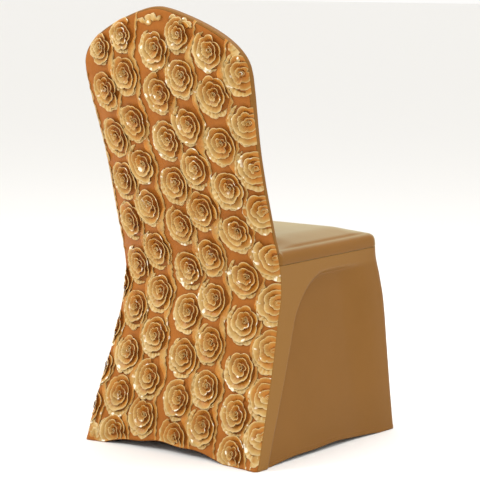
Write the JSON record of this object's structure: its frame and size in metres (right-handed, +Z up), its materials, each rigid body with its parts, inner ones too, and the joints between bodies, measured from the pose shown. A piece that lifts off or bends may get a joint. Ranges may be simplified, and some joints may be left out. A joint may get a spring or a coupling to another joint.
{
  "type": "chair cover",
  "caption": "Fitted stretch cover for a high-backed chair: ribbon rosettes on the back, plain inside back, seat and skirts to the floor, foot pockets at the corners.",
  "frame": {"origin": "on the floor under the middle of the cover's bounding box", "axes": "+Z up to the crown, +Y to the rosette back, -Y the way the sitter faces, +X to the sitter's left"},
  "size_m": [0.4646, 0.5429, 0.925],
  "materials": {
    "plain_spandex": "satin",
    "rosette_ground": "satin",
    "rosette_ribbon": "satin"
  },
  "bodies": {
    "root": {"back_panel": "rosette_ground", "inside_back": "plain_spandex", "seat_panel": "plain_spandex", "skirt_right": "plain_spandex", "skirt_left": "plain_spandex", "front_skirt": "plain_spandex", "foot_pocket_rear_right": "plain_spandex", "foot_pocket_rear_left": "plain_spandex", "foot_pocket_front_right": "plain_spandex", "foot_pocket_front_left": "plain_spandex", "rosette_column_1": "rosette_ribbon", "rosette_column_2": "rosette_ribbon", "rosette_column_3": "rosette_ribbon", "rosette_column_4": "rosette_ribbon", "rosette_column_5": "rosette_ribbon", "rosette_column_6": "rosette_ribbon", "rosette_column_7": "rosette_ribbon"}
  },
  "joints": []
}
